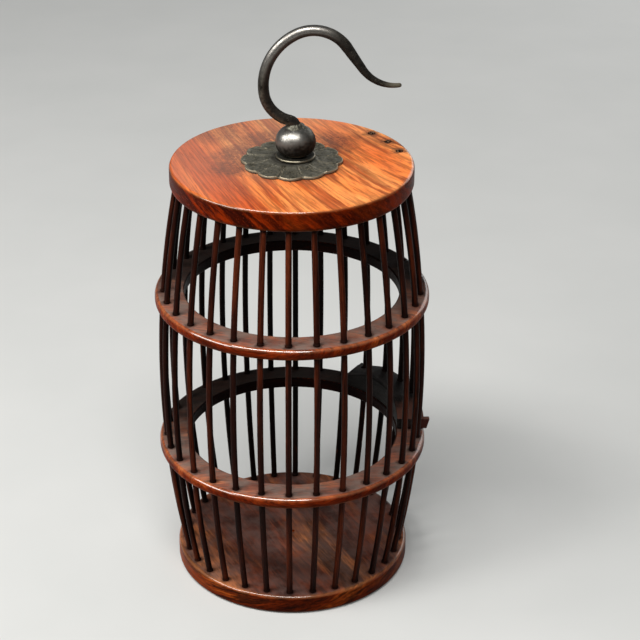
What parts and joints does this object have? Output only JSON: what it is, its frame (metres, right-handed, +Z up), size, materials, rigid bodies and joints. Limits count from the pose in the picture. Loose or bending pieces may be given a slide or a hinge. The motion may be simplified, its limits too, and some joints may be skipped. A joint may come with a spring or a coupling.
{
  "type": "cricket cage",
  "caption": "Round bow-sided cricket cage of dark bars strung through wooden boards and hoops, with a lifting door and a metal hook on a petal rosette.",
  "frame": {"origin": "centre of the base board's underside", "axes": "+Z up, +X the way the hook's tip points, the front of the cage towards -Y"},
  "size_m": [0.1385, 0.136, 0.2905],
  "materials": {
    "top_wood": "orange-red rosewood with dark straight grain, waxed, stained dull round the metal rosette",
    "hoop_wood": "red-brown rosewood, rubbed bright along the upper edges, dull on the flat faces",
    "base_wood": "deep red-brown rosewood, waxed",
    "bar_wood": "near-black lacquered bars worn to red-brown",
    "door_wood": "near-black wood, dull on top",
    "hook_metal": "dark pewter-grey patina, polished where it is handled",
    "petal_metal": "dark grey patina, brassy along the worn rim"
  },
  "bodies": {
    "cage": {"base_board": "base_wood", "lower_hoop": "hoop_wood", "upper_hoop": "hoop_wood", "top_board": "top_wood", "bar_00": "bar_wood", "bar_01": "bar_wood", "bar_02": "bar_wood", "bar_03": "bar_wood", "bar_04": "bar_wood", "bar_05": "bar_wood", "bar_06": "bar_wood", "bar_07": "bar_wood", "bar_08": "bar_wood", "bar_12": "bar_wood", "bar_13": "bar_wood", "bar_14": "bar_wood", "bar_15": "bar_wood", "bar_16": "bar_wood", "bar_17": "bar_wood", "bar_18": "bar_wood", "bar_19": "bar_wood", "bar_20": "bar_wood", "bar_21": "bar_wood", "bar_22": "bar_wood", "bar_23": "bar_wood", "bar_24": "bar_wood", "bar_25": "bar_wood", "bar_26": "bar_wood", "bar_27": "bar_wood", "bar_28": "bar_wood", "bar_29": "bar_wood", "short_bar_09": "bar_wood", "short_bar_10": "bar_wood", "short_bar_11": "bar_wood", "petal_plate": "petal_metal", "shank_washer": "hook_metal"},
    "door": {"door_rail": "door_wood", "door_bar_09": "bar_wood", "door_bar_10": "bar_wood", "door_bar_11": "bar_wood"},
    "hook": {"hook_rod": "hook_metal", "hook_ball": "hook_metal", "hook_collar": "hook_metal"}
  },
  "joints": [
    {"name": "door_lift", "type": "hinge", "parent": "cage", "child": "door", "pos_m": [-0.40022, -0.23106, 0.1108], "axis": [0.5, -0.866, 0], "range_deg": [0, 6.9]},
    {"name": "hook_swivel", "type": "hinge", "parent": "cage", "child": "hook", "pos_m": [0.0018, 0, 0.2219], "axis": [0, 0, 1], "continuous": true}
  ]
}
